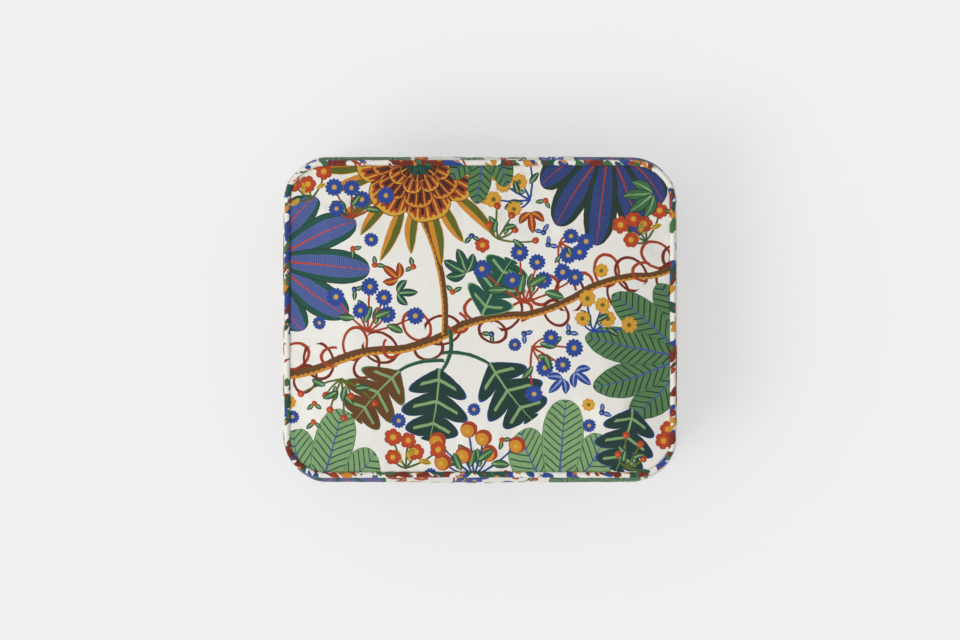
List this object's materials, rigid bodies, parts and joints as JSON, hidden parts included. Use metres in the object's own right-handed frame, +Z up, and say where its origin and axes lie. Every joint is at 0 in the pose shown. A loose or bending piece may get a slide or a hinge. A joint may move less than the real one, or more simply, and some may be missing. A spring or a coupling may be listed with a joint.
{
  "type": "packing cube",
  "caption": "Padded, zip-round packing cube in printed canvas, with a piped crowned lid on a fabric hinge, sliding zip pulls, side grab handle and a mesh pocket in the lid.",
  "frame": {"origin": "on the ground under the middle of the case", "axes": "+Z up, +X along the long side towards the right end, +Y towards the hinge at the back; the zip sliders meet at -Y"},
  "size_m": [0.3037, 0.251, 0.116],
  "materials": {
    "printed_fabric": "printed cotton-linen canvas, matt",
    "piping_fabric": "the same printed canvas, cut on the bias",
    "lining": "plain woven cotton lining, dark green",
    "binding": "ribbed binding tape, dark green",
    "foam": "closed-cell foam interlining, off-white",
    "filler_cord": "twisted cotton filler cord",
    "board": "stiffening board, fine matt grain",
    "zip_tape": "woven zip tape, red-brown",
    "zip_coil": "moulded coil, red-brown, satin",
    "brass": "antique brass, lightly brushed",
    "leather": "vegetable-tanned leather, tan-brown",
    "webbing": "ribbed cotton webbing, red-brown",
    "mesh": "knitted net, dark green"
  },
  "bodies": {
    "case": {"base_panel": "printed_fabric", "base_board": "board", "base_piping_cord": "filler_cord", "base_piping_cover": "piping_fabric", "case_wall": "printed_fabric", "case_wall_foam": "foam", "case_lining": "lining", "case_seam_binding": "binding", "lower_zip_tape": "zip_tape", "lower_zip_coil": "zip_coil", "zip_end_stops": "brass", "hinge_strip": "printed_fabric", "side_handle": "webbing", "handle_patches": "leather"},
    "lid": {"lid_panel": "printed_fabric", "lid_foam": "foam", "lid_wall": "printed_fabric", "lid_wall_foam": "foam", "lid_lining": "lining", "lid_piping_cord": "filler_cord", "lid_piping_cover": "piping_fabric", "lid_seam_binding": "binding", "upper_zip_tape": "zip_tape", "upper_zip_coil": "zip_coil", "mesh_pocket": "mesh", "mesh_pocket_binding": "binding"},
    "left_slider": {"left_zip_slider": "brass", "left_slider_bridge": "brass"},
    "right_slider": {"right_zip_slider": "brass", "right_slider_bridge": "brass"},
    "left_pull": {"left_pull_tab": "leather", "left_pull_rivet": "brass"},
    "right_pull": {"right_pull_tab": "leather", "right_pull_rivet": "brass"}
  },
  "joints": [
    {"name": "lid_hinge", "type": "hinge", "parent": "case", "child": "lid", "pos_m": [0, 0.1253, 0.07], "axis": [-1, 0, 0], "range_deg": [0, 180]},
    {"name": "left_slide", "type": "slide", "parent": "case", "child": "left_slider", "axis": [-1, 0, 0], "range_m": [0, 0.1]},
    {"name": "right_slide", "type": "slide", "parent": "case", "child": "right_slider", "axis": [1, 0, 0], "range_m": [0, 0.1]},
    {"name": "left_pull_swing", "type": "hinge", "parent": "left_slider", "child": "left_pull", "pos_m": [-0.0066, -0.1242, 0.07], "axis": [-1, 0, 0], "range_deg": [0, 160]},
    {"name": "right_pull_swing", "type": "hinge", "parent": "right_slider", "child": "right_pull", "pos_m": [0.0066, -0.1242, 0.07], "axis": [-1, 0, 0], "range_deg": [0, 160]}
  ]
}
